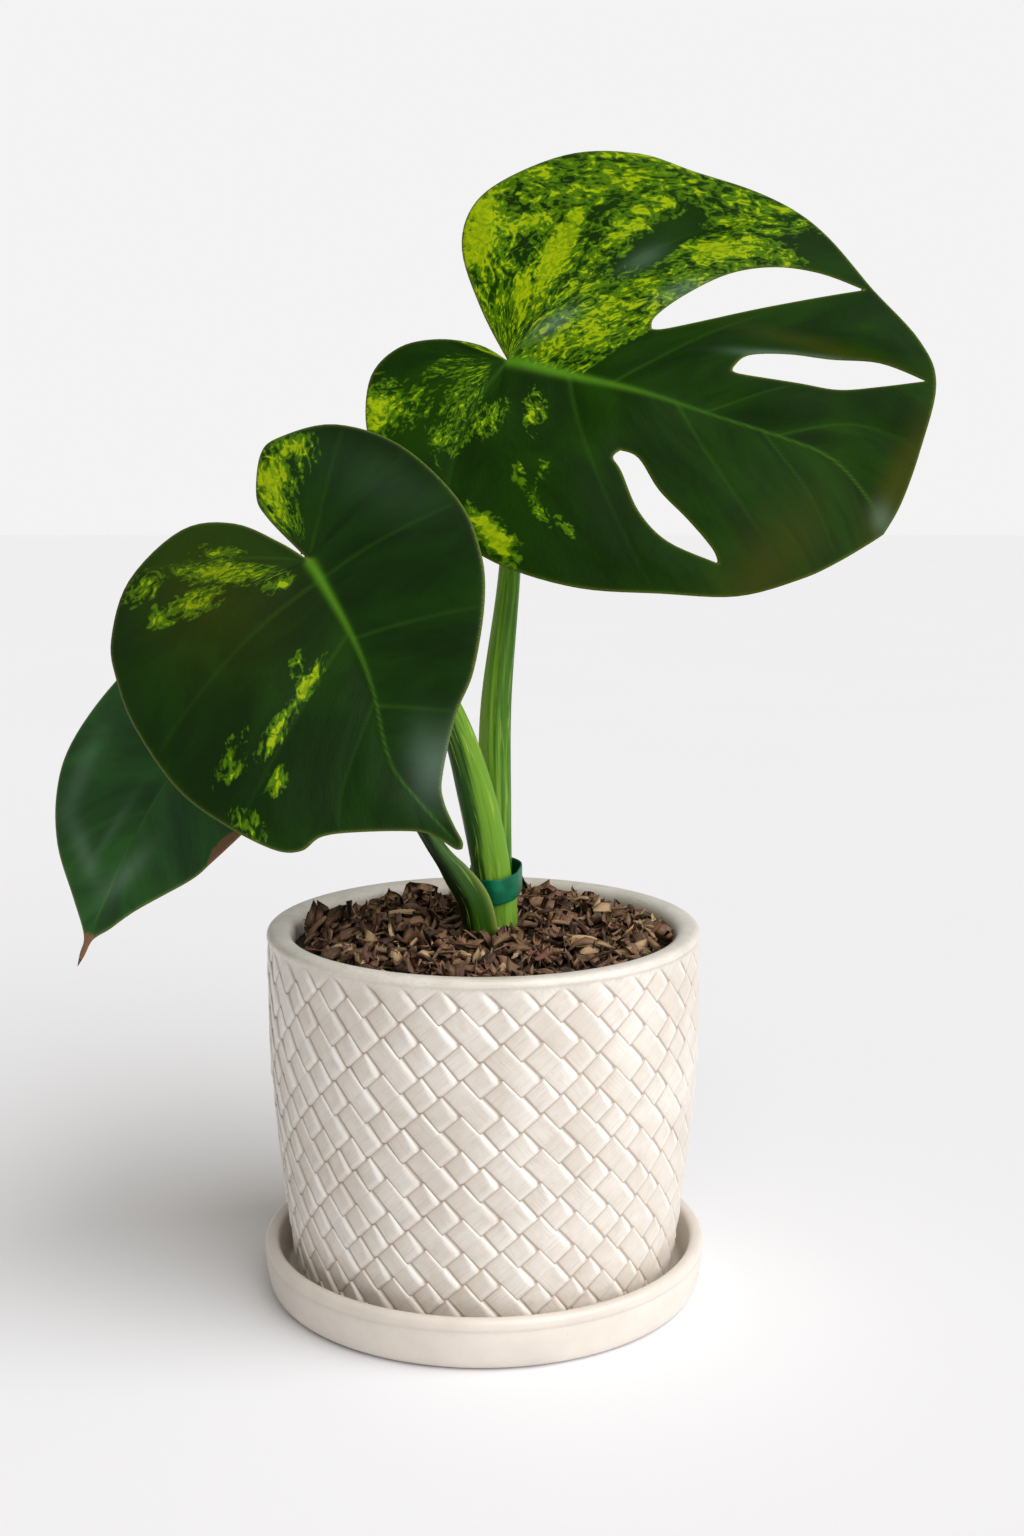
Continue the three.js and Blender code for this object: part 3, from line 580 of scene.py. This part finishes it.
def pot():
    """One closed surface: the woven wall, then rings over the lip, which is rounded tightly outside and
    broadly inside, down the inside, across the floor, through the drain hole, under the foot and back to
    the wall."""
    samples = np.array([0, 0.04, 0.09, 0.17, 0.29, 0.5, 0.71, 0.83, 0.91, 0.96])
    wall, angle, strand, marks = plaited_wall(samples)
    columns, rows = wall.shape[:2]
    rim, top, inner = POT["rim"], POT["height"], POT["rim"] - 2 * POT["lip"]
    foot, bottom, floor, drain = POT["foot"], POT["bottom"], POT["floor"], POT["drain"]
    profile = np.vstack([
        (rim, top - 2.7), bow((rim, top - 2.7), (rim, top - 0.2), (rim - 2.8, top), 7),
        bow((rim - 4, top), (inner + 0.2, top), (inner, top - POT["lip"]), 8),
        [(inner - 0.2, 122), (inner - 0.4, 106), (inner - 0.6, 90)],
        bow((inner - 0.6, 90), (inner - 3, 45), (inner - 8, floor + 8), 5),
        bow((inner - 8, floor + 8), (inner - 10, floor), (inner - 17, floor), 5),
        [(drain + 1, floor), (drain, floor - 1), (drain, bottom + 1), (drain + 1, bottom), (foot, bottom)],
        bow((foot, bottom), (foot + 4.6, bottom + 0.4), (foot + 5, 8.6), 4),
    ])
    rings = turned(profile, angle[:, -1])
    wall_index = np.arange(columns * rows).reshape(columns, rows)
    following = np.roll(wall_index, -1, 0)
    woven = np.stack([wall_index[:, :-2], wall_index[:, 1:-1], following[:, 2:], following[:, 1:-1]], -1)
    top_notch = np.stack([wall_index[:, -2], wall_index[:, -1], following[:, -1]], -1)
    low_notch = np.stack([following[:, 0], wall_index[:, 0], following[:, 1]], -1)
    ring_index = columns * rows + np.arange(len(profile) * columns).reshape(-1, columns)
    wall_foot = np.roll(wall_index[:, 0], (rows - 1) // 2)
    plain_index = closed_columns(np.vstack([wall_index[:, -1], ring_index, wall_foot]))
    points = np.vstack([wall.reshape(-1, 3), rings.reshape(-1, 3)])
    values = {key: np.append(mark.ravel(), np.zeros(ring_index.size)) for key, mark in marks.items()}
    values["strand"] = np.vstack([strand.reshape(-1, 3), rings.reshape(-1, 3)])
    faces = [woven.reshape(-1, 4), top_notch, low_notch, grid_faces(plain_index)]
    finish = glazed_stoneware("cream_glaze_plait", "dbd2c7", "eee8e0", plaited=True)
    make_piece("pot_body", points, faces, finish, ["pot"], values)


def saucer():
    """A shallow dish turned from one profile: from the middle of its floor up the inside, over the round rim,
    past a fine groove and under to the middle of its foot."""
    rim, inner, high, floor = SAUCER["rim"], SAUCER["inner"], SAUCER["height"], SAUCER["floor"]
    profile = np.vstack([
        [(8, floor), (30, floor), (55, floor), (inner - 5, floor)],
        bow((inner - 5, floor), (inner - 2, floor), (inner - 1.6, floor + 3), 6),
        [(inner - 0.9, 11), (inner, high - 3)],
        bow((inner, high - 3), (inner, high), (rim - 2.6, high), 8),
        bow((rim - 2.6, high), (rim, high), (rim, high - 3), 8),
        [(rim - 0.05, high - 3.8), (rim - 0.5, high - 4.3), (rim - 0.5, high - 4.7), (rim - 0.2, high - 5.4)],
        [(rim - 0.6, 10), (rim - 1.4, 5)],
        bow((rim - 1.4, 5), (rim - 2.4, 0), (SAUCER["foot"], 0), 8),
        [(60, 0), (30, 0), (8, 0)],
    ])[::-1]
    columns = 256
    rings = turned(profile, full_turn(columns))
    points = np.vstack([rings.reshape(-1, 3), [[0, 0, 0], [0, 0, floor]]])
    finish = glazed_stoneware("cream_glaze_smooth", "d8cfc5", "e5dcd2")
    make_piece("saucer_dish", points, tube_faces(len(rings), columns), finish, ["saucer"])


# ---- potting mix and mulch

def mix_height(radius):
    """The top of the mound: the height at its edge plus a crown that falls off with the radius squared."""
    return MIX["edge"] + MIX["crown"] * (1 - (radius / MIX["radius"])**2)


def potting_bed():
    """The mound of mix: rings of points with uneven heights, closed below by a plain dish inside the pot."""
    random = np.random.default_rng(2)
    columns, middle, bottom = 160, mix_height(0) - MIX["cover"], MIX["bottom"]
    radii = np.linspace(3, MIX["radius"] - 0.4, 40)
    top = turned(np.column_stack([radii, mix_height(radii) - MIX["cover"]]), full_turn(columns))
    top[:-1, :, 2] += random.normal(0, 0.55, top[:-1, :, 2].shape)
    dish = [(MIX["radius"] - 0.8, 120), (66, 50), (60, 22), (50, bottom), (3, bottom)]
    rings = np.vstack([top, turned(dish, full_turn(columns))])
    points = np.vstack([rings.reshape(-1, 3), [[0, 0, middle], [0, 0, bottom]]])
    faces = [part[:, ::-1] for part in tube_faces(len(rings), columns)]
    make_piece("mulch_bed", points, faces, potting_soil(), ["potting_mix"])


def flake_shape(rows, columns):
    """A pillow of rows by columns points whose upper and under sheet share their rim: shares along and across
    from -1 to 1, which side each point is on, and its faces."""
    along, across = np.meshgrid(np.linspace(-1, 1, rows), np.linspace(-1, 1, columns), indexing="ij")
    rim = (np.abs(along) == 1) | (np.abs(across) == 1)
    upper = np.arange(rows * columns).reshape(rows, columns)
    under = upper.copy()
    under[~rim] = rows * columns + np.arange((~rim).sum())
    faces = np.vstack([grid_faces(upper), grid_faces(under)[:, ::-1]])
    along = np.concatenate([along.ravel(), along[~rim]])
    across = np.concatenate([across.ravel(), across[~rim]])
    side = np.concatenate([np.where(rim, 0.0, 1.0).ravel(), -np.ones((~rim).sum())])
    return along, across, side, faces


def turn_matrices(yaw, pitch, roll):
    """Turns about Z by yaw, after Y by pitch, after X by roll, one matrix for each."""

    def about(angle, first, second):
        matrix = np.tile(np.eye(3), (len(angle), 1, 1))
        matrix[:, first, first] = matrix[:, second, second] = np.cos(angle)
        matrix[:, second, first] = np.sin(angle)
        matrix[:, first, second] = -np.sin(angle)
        return matrix

    return about(yaw, 0, 1) @ about(pitch, 2, 0) @ about(roll, 1, 2)


def bark_flakes(random, count, length, width, thickness, curl, lift, tilt):
    """Curled, ragged flakes. The width of each falls off along it as 0.1 + 0.9 x sqrt(1 - share^blunt), share
    being 0 in its middle and 1 at its ends. It bows along and across by its own curl, twists a little, and
    lies on the mound at its own height and tilt, lower near the stalks, and inwards of the wall."""
    along, across, side, faces = flake_shape(7, 4)
    long = random.uniform(*length, (count, 1))
    wide = random.uniform(*width, (count, 1))
    blunt = random.uniform(1.3, 5, (count, 1))
    taper = 0.1 + 0.9 * np.sqrt(1 - np.abs(along)**blunt)
    ragged = 1 + random.normal(0, 0.09, (count, len(along)))
    x = long / 2 * along * (1 + random.normal(0, 0.02, (count, len(along))))
    y = wide / 2 * across * taper * ragged + long * random.normal(0, 0.08, (count, 1)) * (1 - along**2)
    bowed = random.normal(0, curl, (count, 1)) * long * (along**2 - 0.4)
    cupped = random.normal(0, 2.2 * curl, (count, 1)) * wide * across**2
    twist = random.normal(0, 0.25, (count, 1)) * wide * along * across
    z = bowed + cupped + twist + side * thickness / 2 + random.normal(0, 0.1, (count, len(along)))
    local = np.stack([x, y, z], -1)
    yaw = random.uniform(0, 2 * np.pi, count)
    pitch, roll = random.normal(0, tilt, (2, count))
    spread = np.sqrt(random.uniform(0, 1, count)) * (MIX["radius"] - 3.5)
    heading = random.uniform(0, 2 * np.pi, count)
    spread -= 0.8 * np.clip(spread + long[:, 0] / 2 - MIX["radius"] + 1, 0, None)
    middle = upright(spread, heading, mix_height(spread) + random.uniform(*lift, count))
    from_hollow = np.hypot(middle[:, 0] - HOLLOW["x"], middle[:, 1] - HOLLOW["y"])
    middle[:, 2] -= HOLLOW["depth"] * np.exp(-(from_hollow / HOLLOW["reach"])**2)
    points = np.einsum("nij,nkj->nki", turn_matrices(yaw, pitch, roll), local) + middle[:, None]
    faces = faces[None] + np.arange(count)[:, None, None] * len(along)
    flake = np.repeat(random.uniform(0, 1, (count, 1, 3)), len(along), 1)
    grain = np.stack([x, y, np.repeat(random.uniform(0, 40, (count, 1)), len(along), 1)], -1)
    return points.reshape(-1, 3), faces.reshape(-1, 4), flake.reshape(-1, 3), grain.reshape(-1, 3)


def bark_mulch():
    """Five sorts of flake over the whole mound, held inside the pot's wall and set lower round the stalks."""
    random = np.random.default_rng(11)
    # How many, then length, width, thickness, curl, lift off the mound and tilt.
    sorts = [
        (420, (2.5, 6), (1.5, 3.2), 0.7, 0.1, (-2, 1), 0.4),
        (400, (5, 10), (2, 4.2), 0.5, 0.22, (-0.5, 2.5), 0.4),
        (260, (8, 16), (2.8, 5.5), 0.4, 0.26, (0.5, 3.2), 0.32),
        (160, (7, 18), (0.8, 1.8), 0.6, 0.12, (0, 3.5), 0.25),
        (22, (12, 22), (4, 7), 1.6, 0.06, (2, 3.2), 0.15),
    ]
    points, faces, flake, grain = zip(*(bark_flakes(random, *sort) for sort in sorts))
    firsts = np.cumsum([0] + [len(part) for part in points])
    faces = np.vstack([part + first for part, first in zip(faces, firsts)])
    points = np.vstack(points)
    radius = np.hypot(points[:, 0], points[:, 1])
    limit = np.minimum(1, (MIX["radius"] - 0.3) / np.maximum(radius, 1e-6))
    points[:, :2] *= limit[:, None]
    chips = sorted(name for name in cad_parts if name.startswith("bark_chip"))
    values = {"flake": np.vstack(flake), "grain": np.vstack(grain)}
    make_piece("bark_mulch", points, [faces], bark_mulch_finish(), chips, values)


# ---- leaves

def leaf_axes(leaf):
    """The blade's own axes: along the midrib, across it, out of its upper side, and the midrib's length."""
    at, reach, facing = (np.array(leaf[key], float) for key in ("at", "reach", "facing"))
    length = np.linalg.norm(reach - at)
    along = (reach - at) / length
    out = facing - facing @ along * along
    out /= np.linalg.norm(out)
    return at, along, np.cross(out, along), out, length


def segments(edge_loops):
    """Start and end points of every step of closed loops, each given as a list of smooth edges."""
    rings = [np.vstack([smooth_line(edge, 6)[:-1] for edge in loop]) for loop in edge_loops]
    return np.vstack(rings), np.vstack([np.roll(ring, -1, 0) for ring in rings])


def inside(points, starts, ends):
    """Whether a line from each point towards +s crosses the loops an odd number of times."""
    s, t = points[:, None, 0], points[:, None, 1]
    spans = (starts[:, 1] > t) != (ends[:, 1] > t)
    step = np.where(ends[:, 1] == starts[:, 1], 1e-9, ends[:, 1] - starts[:, 1])
    crossing = starts[:, 0] + (t - starts[:, 1]) * (ends[:, 0] - starts[:, 0]) / step
    return (spans & (s < crossing)).sum(1) % 2 == 1


def nearest_on_edge(points, starts, ends):
    """The nearest point of the loops to each point, and how far it is."""
    step = ends - starts
    size = np.maximum((step**2).sum(1), 1e-12)
    share = np.clip(((points[:, None] - starts) * step).sum(2) / size, 0, 1)
    near = starts + share[..., None] * step
    gap = np.hypot(*np.moveaxis(points[:, None] - near, 2, 0))
    best = gap.argmin(1)
    rows = np.arange(len(points))
    return near[rows, best], gap[rows, best]


def in_parts(function, points, *others):
    """function over the points a few thousand at a time, with its results joined."""
    parts = [function(chunk, *others) for chunk in np.array_split(points, len(points) // 4000 + 1)]
    if isinstance(parts[0], tuple):
        return tuple(np.concatenate(column) for column in zip(*parts))
    return np.concatenate(parts)


def vein_flow(leaf, s, t):
    """How far each point is off the midrib, where the side vein through it leaves the midrib, how far along
    that vein it is, and how many millimetres one unit of the second is worth there. Ahead of the stalk a
    vein runs s = start + slope x reach + bend x reach^2, its slope growing with start; behind it the veins
    fan out round the stalk."""
    rib_s, rib_t = smooth_line(leaf["rib"], 8).T
    off = t - np.interp(s, rib_s, rib_t)
    reach = np.abs(off)
    slope, growth, bend = (np.where(off > 0, *pair) for pair in zip(*leaf["sides"]))
    ahead = (s - slope * reach - bend * reach**2) / (1 + growth * reach)
    from_stalk = np.hypot(s, reach)
    first_vein = np.arctan2(1.0, slope + bend * reach)
    behind = BLADE["fan_radius"] * (first_vein - np.arctan2(reach, s))
    start = np.where(ahead > 0, ahead, np.minimum(behind, 0))
    run = np.where(ahead > 0, np.hypot(s - ahead, reach), from_stalk)
    worth = np.where(ahead > 0, 0.85 * (1 + growth * reach), from_stalk / BLADE["fan_radius"])
    return off, start, run, worth


def beside_vein(leaf, off, start, worth):
    """The distance from each point to the nearest side vein of its own half."""
    beside = np.full(len(off), 1e3)
    for side, starts_at in zip((1, -1), leaf["veins"]):
        for where in starts_at:
            near = np.abs(start - where) * worth
            beside = np.where(off * side > 0, np.minimum(beside, near), beside)
    return beside


def patches(rows, s, t):
    """The sum of soft oval patches, each strength x exp(-(distance in its own half sizes)^2)."""
    total = np.zeros_like(s)
    for centre_s, centre_t, long, wide, turn, strength in rows:
        angle = np.radians(turn)
        x = (s - centre_s) * np.cos(angle) + (t - centre_t) * np.sin(angle)
        y = (t - centre_t) * np.cos(angle) - (s - centre_s) * np.sin(angle)
        total += strength * np.exp(-(x / long)**2 - (y / wide)**2)
    return total


def blade_grid(leaf, step):
    """Grid points and cells inside the blade's outline: the points of its rim are moved onto the outline,
    and the ones just inside are evened out between their neighbours."""
    starts, ends = segments([leaf["margins"], *leaf.get("slits", ())])
    low, high = starts.min(0) - step, starts.max(0) + 2 * step
    axes = [np.arange(low[k], high[k], step) for k in range(2)]
    nodes = np.stack(np.meshgrid(*axes, indexing="ij"), -1)
    middles = (nodes[:-1, :-1] + nodes[1:, 1:]) / 2
    kept = in_parts(inside, middles.reshape(-1, 2), starts, ends).reshape(middles.shape[:2])
    framed = np.pad(kept, 1)
    around = np.stack([framed[:-1, :-1], framed[1:, :-1], framed[:-1, 1:], framed[1:, 1:]])
    used, whole = around.any(0), around.all(0)
    rim = used & ~whole
    nodes[rim] = in_parts(nearest_on_edge, nodes[rim], starts, ends)[0]
    for _ in range(5):
        middle = nodes[1:-1, 1:-1]
        even = (nodes[2:, 1:-1] + nodes[:-2, 1:-1] + nodes[1:-1, 2:] + nodes[1:-1, :-2]) / 4
        middle[whole[1:-1, 1:-1]] = even[whole[1:-1, 1:-1]]
    number = np.full(used.shape, -1)
    number[used] = np.arange(used.sum())
    faces = grid_faces(number)[kept.ravel()]
    points = nodes[used]
    gap = in_parts(nearest_on_edge, points, starts, ends)[1]
    return points, faces, rim[used], gap


def blade_marks(leaf, s, t, off, start):
    """The strengths of the blade's own colours at each point, and of its painted sheen. Gold is the base and
    the patches up to the vein that ends it, less the dark patches."""
    gold_side, gold_base = (np.where(off > 0, *leaf[key]) for key in ("gold_side", "gold_base"))
    gold = gold_base + patches(leaf.get("gold", ()), s, t)
    gold *= 1 - smooth_step((start - gold_side + 2) / 5)
    # The brownish flush, and the painted sheen: dull grey shine painted into the colour.
    marks = {key: np.clip(patches(leaf.get(key, ()), s, t), 0, 1) for key in ("bronze", "painted_sheen")}
    marks["scorch"] = patches(leaf.get("scorch", ()), s, t)
    marks["gold"] = np.clip(gold - patches(leaf.get("dark", ()), s, t), 0, 1.2)
    return marks


def leaf_blade(which, finish, step):
    """A thin closed blade: its middle surface is the fold, curl and arch of the frame's blade with low
    quilting between the side veins; the two skins stand off it by half the thickness, rounded to nothing at
    the rim, with veins sunk into the upper skin and raised on the under one."""
    leaf = LEAVES[which]
    points, faces, rim, gap = blade_grid(leaf, step)
    s, t = points.T
    at, along, across, out, length = leaf_axes(leaf)
    off, start, run, worth = vein_flow(leaf, s, t)
    beside = beside_vein(leaf, off, start, worth)
    tip_share = np.clip(s / length, 0, 1)

    rounding = BLADE["rib_rounding"]
    middle = leaf["fold"] * (np.hypot(off, rounding) - rounding) - leaf["curl"] * off**2
    middle += leaf["arch"] * np.sin(np.pi * s / length)
    quilt = (1 - np.exp(-(beside / 6)**2)) * smooth_step(gap / 14) * smooth_step(np.abs(off) / 14)
    ripple = np.sin(s / 11 + t / 17) * np.sin(t / 13 - s / 29) * smooth_step(gap / 10)
    middle += BLADE["quilt"] * quilt + BLADE["ripple"] * ripple - BLADE["rim_droop"] * np.exp(-gap / 3)
    if "slits" in leaf:
        slit_gap = in_parts(nearest_on_edge, points, *segments(leaf["slits"]))[1]
        middle -= (BLADE["rim_droop"] + patches(leaf["rolled"], s, t)) * np.exp(-slit_gap / 4)

    rib_width = leaf["rib_width"] * np.maximum(1 - 1.35 * tip_share**0.8, 0.2) * smooth_step((s + 3) / 4)
    rib = np.exp(-(off / np.maximum(rib_width, 0.3))**2)
    rib *= smooth_step((s + 2) / 3) * smooth_step((length - s) / 12)
    vein = np.exp(-(beside / 0.6)**2) * np.exp(-run / 60) * smooth_step(gap / 4)
    inland = smooth_step(gap / 6)
    skin = BLADE["thickness"] / 2 * np.sqrt(1 - (1 - np.minimum(gap, 1))**2)
    valley = BLADE["valley"] * np.exp(-(off / 4.5)**2) * smooth_step(s / 20) * (1 - tip_share)
    raised = BLADE["rib_rise"] * rib * (1 - tip_share) - valley - BLADE["vein_sink"] * vein
    lowered = BLADE["rib_drop"] * rib * (1 - 0.7 * tip_share) + valley + BLADE["vein_drop"] * vein
    upper = middle + skin + raised * inland
    under = middle - skin - lowered * inland
    upper[rim] = middle[rim]

    inner = ~rim
    base = at + s[:, None] * along + t[:, None] * across
    both_skins = np.vstack([base + upper[:, None] * out, (base + under[:, None] * out)[inner]])
    under_number = np.arange(len(s))
    under_number[inner] = len(s) + np.arange(inner.sum())
    all_faces = np.vstack([faces, under_number[faces][:, ::-1]])
    values = blade_marks(leaf, s, t, off, start)
    values["rib"] = rib * (1 - 0.62 * smooth_step(tip_share / 0.5))
    values["vein"] = vein
    values["edge"] = np.exp(-gap / 0.35)
    values["flow"] = np.stack([start, run, np.where(off > 0, 7.0, 0.0)], -1)
    values = {key: np.concatenate([value, value[inner]]) for key, value in values.items()}
    values["underside"] = np.repeat([0.0, 1.0], [len(s), inner.sum()])
    make_piece(f"{which}_blade", both_skins, [all_faces], finish, [f"{which}_leaf"], values)


# ---- stalks, stem and tie

def stalk(name, rows, section, finish, stands_for):
    """An oval rod along a smooth line through the rows' points. section(angle, share) scales the oval at each
    angle round it, 0 being its right side as seen from the front, and gives how much of it is wing."""
    columns = 56
    line = smooth_line(rows, 14)
    centre, half = line[:, :3], line[:, 3:]
    heading = np.gradient(centre, axis=0)
    heading /= np.linalg.norm(heading, axis=1, keepdims=True)
    right = np.cross(np.array([0.0, 1.0, 0.0]), heading)
    right /= np.linalg.norm(right, axis=1, keepdims=True)
    back = np.cross(heading, right)
    angle = full_turn(columns)
    scale, wing = section(angle, np.linspace(0, 1, len(line))[:, None])
    x = half[:, :1] * np.cos(angle) * scale
    y = half[:, 1:] * np.sin(angle) * scale
    rings = centre[:, None] + x[..., None] * right[:, None] + y[..., None] * back[:, None]
    points = np.vstack([rings.reshape(-1, 3), centre[:1], centre[-1:]])
    way_up = np.append(0, np.cumsum(np.linalg.norm(np.diff(centre, axis=0), axis=1)))
    run = np.stack(np.broadcast_arrays(np.cos(angle), way_up[:, None], np.sin(angle)), -1)
    run = np.vstack([run.reshape(-1, 3), [[0, 0, 0], [0, way_up[-1], 0]]])
    values = {"run": run, "wing": np.append(wing.ravel(), [0, 0])}
    make_piece(name, points, tube_faces(len(line), columns), finish, [stands_for], values)


def off_angle(angle, middle):
    """How far an angle is from the middle one, the short way round."""
    return np.angle(np.exp(1j * (angle - middle)))


def ribbed(angle, share):
    """Twelve low ribs, and a thin wing on the left that dies out half way up."""
    ribs = 0.035 * np.cos(12 * angle)
    wing = np.exp(-(off_angle(angle, np.pi) / 0.22)**2) * (1 - smooth_step((share - 0.3) / 0.25))
    return 1 + ribs + 0.3 * wing, wing * 0.7


def smooth_round(angle, share):
    """A plain round with three very low swellings, and no wing."""
    swelling = 0.02 * np.cos(3 * angle + 4 * share)
    return 1 + swelling, np.zeros_like(swelling)


def sheathed(angle, share):
    """A stalk whose lower part is a folded sheath: a raised, thin right-hand edge, palest at its foot, over a
    shallow channel."""
    low = 1 - smooth_step((share - 0.25) / 0.4)
    off = off_angle(angle, -0.35)
    lip = np.exp(-(off / 0.2)**2) * low
    channel = np.exp(-((off + 0.75) / 0.4)**2) * low
    pale = 0.5 + 0.5 * smooth_step((0.2 - share) / 0.12)
    return 1 + 0.32 * lip - 0.12 * channel, lip * pale


def plant_tie():
    """Flat tape bent into an oval loop: a thin rounded section carried round, overlapping itself at the back,
    and higher at the back and right."""
    turns = np.linspace(0.6 * np.pi, 2.85 * np.pi, 140)
    section = np.linspace(0, 2 * np.pi, 16, endpoint=False)
    outwards = TIE["thickness"] / 2 * np.cos(section)
    upwards = TIE["height"] / 2 * np.tanh(3 * np.sin(section)) / np.tanh(3)
    overlap = 0.75 * smooth_step((turns - 2.45 * np.pi) / (0.2 * np.pi))
    wave = 0.25 * np.sin(3 * turns) + 0.15 * np.sin(7 * turns)
    clear = (TIE["thickness"] / 2 + overlap + wave)[:, None] + outwards
    x = (TIE["half_width"] + clear) * np.cos(turns)[:, None]
    y = (TIE["half_depth"] + clear) * np.sin(turns)[:, None]
    z = TIE["z"] + TIE["tilt"] * (x + y) + upwards
    rings = np.stack([x + TIE["x"], y + TIE["y"], z], -1)
    points = np.vstack([rings.reshape(-1, 3), rings[0].mean(0), rings[-1].mean(0)])
    faces = tube_faces(len(turns), len(section))
    make_piece("tie_band", points, faces, tie_tape(), ["plant_tie"])


# ---- studio

def studio():
    """A pale floor, a weak warm fill from all round, and one broad key light with soft shadows, from the
    right and front. Glossy surfaces mirror a dim cool room instead of the fill, and the camera sees a pale
    backdrop."""
    half = TABLE_HALF * MM
    mesh = bpy.data.meshes.new("table")
    mesh.from_pydata([(-half, -half, 0), (half, -half, 0), (half, half, 0), (-half, half, 0)], [], [range(4)])
    mesh.materials.append(table_top())
    table = bpy.data.objects.new("table", mesh)
    bpy.context.scene.collection.objects.link(table)

    world = bpy.data.worlds.new("studio")
    world.use_nodes = True
    bpy.context.scene.world = world
    nodes, links = world.node_tree.nodes, world.node_tree.links
    fill = nodes["Background"]
    fill.inputs["Color"].default_value = LIGHT["fill"]
    fill.inputs["Strength"].default_value = LIGHT["fill_strength"]
    path = nodes.new("ShaderNodeLightPath")
    shown = fill.outputs[0]
    for ray, colour in (("Is Glossy Ray", LIGHT["gloss"]), ("Is Camera Ray", paint(LIGHT["backdrop"]))):
        other = nodes.new("ShaderNodeBackground")
        other.inputs["Color"].default_value = colour
        both = nodes.new("ShaderNodeMixShader")
        links.new(path.outputs[ray], both.inputs[0])
        links.new(shown, both.inputs[1])
        links.new(other.outputs[0], both.inputs[2])
        shown = both.outputs[0]
    links.new(shown, nodes["World Output"].inputs[0])

    key = bpy.data.lights.new("window", "SUN")
    key.energy = LIGHT["key_energy"]
    key.angle = LIGHT["key_angle"]
    key.color = LIGHT["key"]
    lamp = bpy.data.objects.new("window", key)
    lamp.rotation_euler = (np.radians(LIGHT["key_tilt"]), 0, np.radians(LIGHT["key_turn"]))
    bpy.context.scene.collection.objects.link(lamp)
    bpy.context.scene.view_settings.view_transform = "Standard"


def camera():
    """Looks level towards +Y and tips down to the pot."""
    data = bpy.data.cameras.new("camera")
    data.lens = CAMERA["lens"]
    data.sensor_width = CAMERA["sensor"]
    eye = bpy.data.objects.new("camera", data)
    eye.location = [MM * value for value in CAMERA["place"]]
    eye.rotation_euler = (np.radians(90 - CAMERA["down_degrees"]), 0, 0)
    bpy.context.scene.collection.objects.link(eye)
    bpy.context.scene.camera = eye


camera()
studio()
saucer()
pot()
potting_bed()
bark_mulch()
for which, skin, step in (
    ("upper", leaf_skin("marbled_leaf", "0e2500", "173700", 0.26, 0.04), 0.85),
    ("middle", leaf_skin("middle_leaf_skin", "0d2302", "163404", 0.2, 0.11), 0.75),
    ("lower", leaf_skin("lower_leaf_skin", "153a0a", "245a18", 0.06, 0.32), 0.75),
):
    leaf_blade(which, skin, step)
for which, section, skin in (
    ("upper", ribbed, stalk_skin("ribbed_stalk", "447616", "78a232", "a3ba50", -0.14)),
    ("middle", smooth_round, stalk_skin("smooth_stalk", "1f4a06", "6c9a28", "a9bf48", 0.3)),
    ("lower", sheathed, stalk_skin("sheathed_stalk", "081c01", "264c05", "8aa01c", 0.36)),
):
    stalk(f"{which}_stalk", STALKS[which], section, skin, f"{which}_petiole")
stem_skin = stalk_skin("stem_skin", "4c8212", "7aa636", "c4d6a0", 0.05)
stalk("stem_base", STEM, smooth_round, stem_skin, "stem")
plant_tie()
